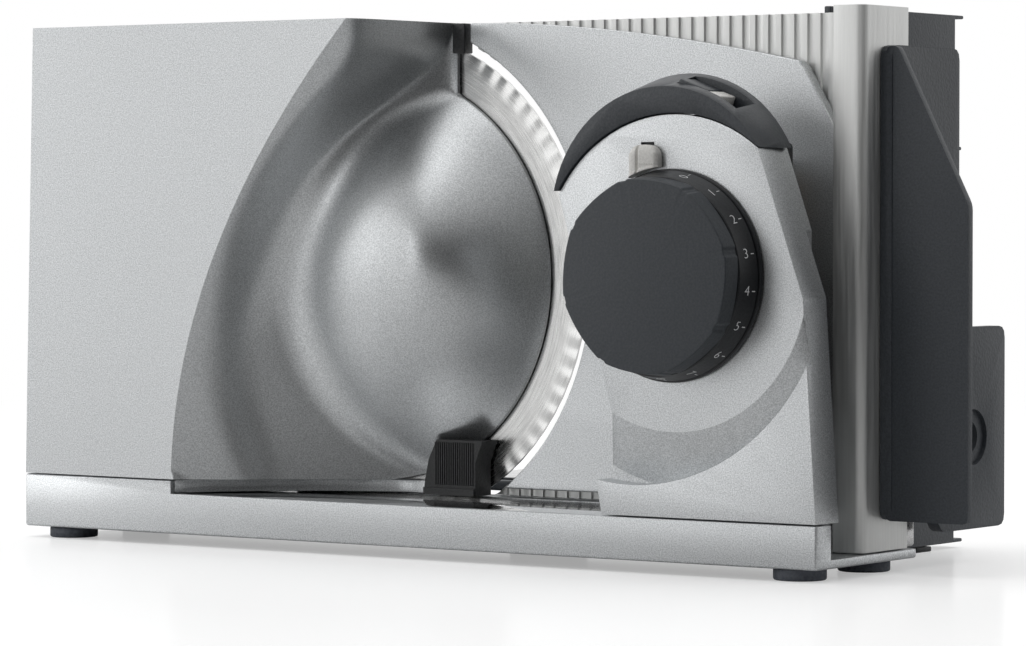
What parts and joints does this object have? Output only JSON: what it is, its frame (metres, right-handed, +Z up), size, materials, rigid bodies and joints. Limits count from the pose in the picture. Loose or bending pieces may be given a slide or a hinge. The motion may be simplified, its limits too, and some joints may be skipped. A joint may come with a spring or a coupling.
{
  "type": "food slicer",
  "caption": "Household food slicer with a vertical toothed round blade, a sculpted motor housing, a dial for the slice thickness, a sliding stop plate and a food carriage.",
  "frame": {"origin": "on the table, under the middle of the whole machine's bounding box", "axes": "+X along the machine from the motor housing to the stop plate's leg, +Y from the operator's side with the dial to the food side, +Z up"},
  "size_m": [0.3598, 0.1694, 0.183],
  "materials": {
    "silver_paint": "satin silver paint with a fine grain",
    "aluminium": "satin anodised extrusion",
    "steel": "fine brushed",
    "blade_steel": "ring brushed round the axis",
    "rubber": "matt",
    "black_plastic": "matt",
    "charcoal_plastic": "soft matt",
    "slate_plastic": "fine matt grain",
    "cream_plastic": "satin",
    "bronze": "plain",
    "nylon": "plain"
  },
  "bodies": {
    "base": {"base_shell": "silver_paint", "tray_plate": "steel", "base_bottom_plate": "black_plastic", "base_screw_left": "steel", "base_screw_right": "steel", "foot_front_left": "rubber", "foot_front_right": "rubber", "foot_back_left": "rubber", "foot_back_right": "rubber", "motor_housing": "silver_paint", "housing_lid": "black_plastic", "back_cover": "silver_paint", "housing_plinth": "silver_paint", "blade_scraper": "black_plastic", "slot_guard": "black_plastic", "motor_can": "steel", "motor_mount": "steel", "idler_pin": "steel", "blade_axle": "steel", "blade_cover": "steel", "knob_tower": "silver_paint", "tower_back": "black_plastic", "rod_bushing_low": "bronze", "rod_bushing_high": "bronze", "switch_hood": "charcoal_plastic", "micro_switch": "black_plastic", "carriage_rail": "steel", "cord_gland": "black_plastic"},
    "blade_unit": {"drive_gear": "nylon", "blade_hub": "steel", "blade": "blade_steel", "blade_screw_1": "steel", "blade_screw_2": "steel", "blade_screw_3": "steel"},
    "idler_unit": {"idler_large_gear": "nylon", "idler_small_gear": "nylon"},
    "rotor_unit": {"rotor_shaft": "steel", "motor_pinion": "bronze", "motor_fan": "black_plastic"},
    "lock_unit": {"cover_lock": "charcoal_plastic"},
    "knob_unit": {"dial_skirt": "charcoal_plastic", "thickness_knob": "charcoal_plastic", "knob_spindle": "steel"},
    "stop_unit": {"stop_plate": "aluminium", "guide_panel": "silver_paint", "plate_bracket": "aluminium", "spindle_nut": "nylon", "guide_rod_low": "steel", "guide_rod_high": "steel"},
    "holder_unit": {"remnant_holder": "slate_plastic", "spike_strip": "steel"},
    "carriage_unit": {"carriage_floor": "slate_plastic", "carriage_wall": "slate_plastic", "carriage_foot": "nylon", "carriage_skid": "slate_plastic", "carriage_runner": "nylon", "floor_plate": "steel"},
    "button_unit": {"switch_button": "charcoal_plastic"},
    "slider_unit": {"run_slider": "cream_plastic"},
    "tab_unit": {"index_tab": "cream_plastic"}
  },
  "joints": [
    {"name": "blade_spin", "type": "hinge", "parent": "base", "child": "blade_unit", "pos_m": [-0.06032, -0.01245, 0.0931], "axis": [0, 1, 0], "continuous": true},
    {"name": "idler_spin", "type": "hinge", "parent": "base", "child": "idler_unit", "pos_m": [-0.10433, -0.02705, 0.0931], "axis": [0, 1, 0], "continuous": true},
    {"name": "rotor_spin", "type": "hinge", "parent": "base", "child": "rotor_unit", "pos_m": [-0.1258, -0.03105, 0.1055], "axis": [0, 1, 0], "continuous": true},
    {"name": "lock_turn", "type": "hinge", "parent": "base", "child": "lock_unit", "pos_m": [-0.06032, -0.00855, 0.0931], "axis": [0, 1, 0], "range_deg": [0, 90]},
    {"name": "knob_turn", "type": "hinge", "parent": "base", "child": "knob_unit", "pos_m": [0.09538, -0.06705, 0.0955], "axis": [0, -1, 0], "range_deg": [0, 330]},
    {"name": "stop_plate_slide", "type": "slide", "parent": "base", "child": "stop_unit", "axis": [0, -1, 0], "range_m": [0, 0.015]},
    {"name": "holder_pull", "type": "slide", "parent": "stop_unit", "child": "holder_unit", "axis": [1, 0, 0], "range_m": [0, 0.06]},
    {"name": "carriage_slide", "type": "slide", "parent": "base", "child": "carriage_unit", "axis": [1, 0, 0], "range_m": [-0.19, 0.01]},
    {"name": "button_press", "type": "slide", "parent": "base", "child": "button_unit", "axis": [-0.3502, 0, -0.9367], "range_m": [0, 0.0015], "stiffness_N_per_m": 400},
    {"name": "slider_move", "type": "slide", "parent": "base", "child": "slider_unit", "axis": [0.9367, 0, -0.3502], "range_m": [0, 0.0055]},
    {"name": "tab_lift", "type": "slide", "parent": "base", "child": "tab_unit", "axis": [0, 0, 1], "range_m": [0, 0.003], "stiffness_N_per_m": 200}
  ],
  "couplings": [
    {"joint": "idler_spin", "follows": "blade_spin", "ratio": -4.5},
    {"joint": "rotor_spin", "follows": "blade_spin", "ratio": 15.429},
    {"joint": "knob_turn", "follows": "stop_plate_slide", "rad_per_m": 383.9}
  ]
}
